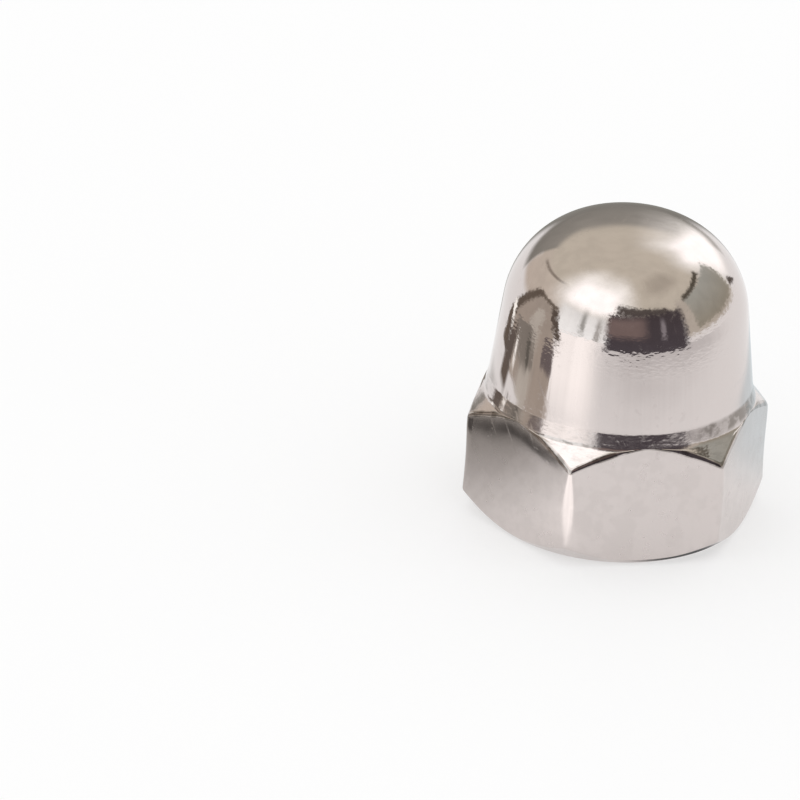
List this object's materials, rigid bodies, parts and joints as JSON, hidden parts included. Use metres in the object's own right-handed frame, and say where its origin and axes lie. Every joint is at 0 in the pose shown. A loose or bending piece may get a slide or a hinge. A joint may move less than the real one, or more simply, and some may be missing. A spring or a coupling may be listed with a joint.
{
  "type": "domed cap nut",
  "caption": "Hexagon nut closed by a low polished dome, tapped blind from its bearing face for a metric thread.",
  "frame": {"origin": "centre of the bearing face", "axes": "+Z along the thread's axis, from the bearing face to the crown of the dome; -Y and +Y square to one pair of wrench flats"},
  "size_m": [0.0216, 0.019, 0.022],
  "materials": {
    "plated_steel": "polished"
  },
  "bodies": {
    "root": {"nut": "plated_steel"}
  },
  "joints": []
}
